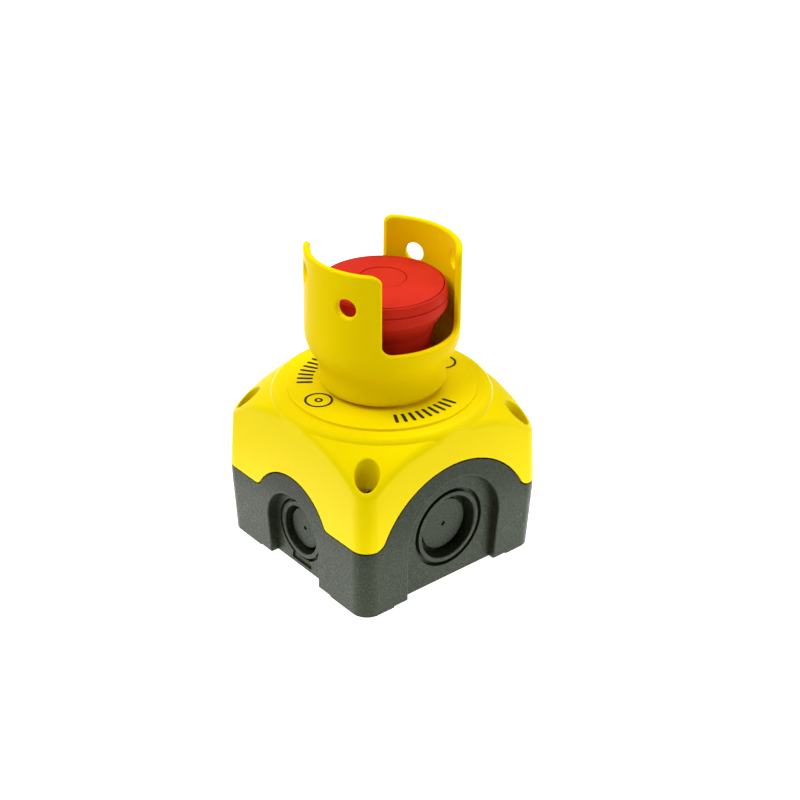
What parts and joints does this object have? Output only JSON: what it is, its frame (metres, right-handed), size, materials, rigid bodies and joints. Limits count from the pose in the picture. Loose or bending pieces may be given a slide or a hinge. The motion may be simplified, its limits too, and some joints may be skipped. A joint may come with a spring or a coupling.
{
  "type": "emergency stop push button",
  "caption": "Surface-mounted emergency stop: grey base with cable entries, yellow cover, round legend plate, winged guard collar with lock holes and a red push-pull mushroom head.",
  "frame": {"origin": "middle of the enclosure's underside, in the plane of its four corner feet", "axes": "+Z along the push button's axis, out of the panel; the wide arched cable-entry faces look along -Y and +Y, the narrow ones along -X and +X; the collar is open towards -Y and +Y"},
  "size_m": [0.072, 0.072, 0.1024],
  "materials": {
    "base_grey": "fine moulded texture",
    "cover_yellow": "satin",
    "legend_yellow": "satin",
    "collar_yellow": "satin",
    "head_red": "satin",
    "inner_black": "moulded",
    "inner_white": "moulded",
    "nc_red": "moulded",
    "no_green": "moulded",
    "seal_rubber": "matt",
    "steel": "zinc plated",
    "brass": "bright"
  },
  "bodies": {
    "casing": {"enclosure_base": "base_grey", "enclosure_cover": "cover_yellow", "cover_gasket": "seal_rubber", "cover_screws": "steel", "thread_inserts": "brass", "legend_plate": "legend_yellow", "guard_collar": "collar_yellow", "operator_seal": "seal_rubber", "operator_housing": "inner_black", "ring_nut": "inner_black", "stem_lip_seal": "seal_rubber", "detent_ring": "steel", "contact_carrier": "inner_black", "nc_housing": "inner_black", "nc_terminals": "brass", "nc_terminal_screws": "steel", "nc_spring": "steel", "no_housing": "inner_black", "no_terminals": "brass", "no_terminal_screws": "steel", "no_spring": "steel", "return_spring": "steel"},
    "head": {"mushroom_head": "head_red", "head_top_disc": "head_red", "head_centre_disc": "head_red", "actuator_stem": "inner_white", "stem_pusher": "inner_white", "stem_clip": "steel"},
    "nc_contact": {"nc_plunger": "nc_red", "nc_bridge": "brass"},
    "no_contact": {"no_plunger": "no_green", "no_bridge": "brass"}
  },
  "joints": [
    {"name": "head_push", "type": "slide", "parent": "casing", "child": "head", "axis": [0, 0, -1], "range_m": [0, 0.0045], "deforming": ["return_spring"]},
    {"name": "nc_plunger_slide", "type": "slide", "parent": "casing", "child": "nc_contact", "axis": [0, 0, -1], "range_m": [0, 0.0045], "deforming": ["nc_spring"]},
    {"name": "no_plunger_slide", "type": "slide", "parent": "casing", "child": "no_contact", "axis": [0, 0, -1], "range_m": [0, 0.0045], "deforming": ["no_spring"]}
  ],
  "couplings": [
    {"joint": "nc_plunger_slide", "follows": "head_push", "ratio": 1},
    {"joint": "no_plunger_slide", "follows": "head_push", "ratio": 1}
  ]
}
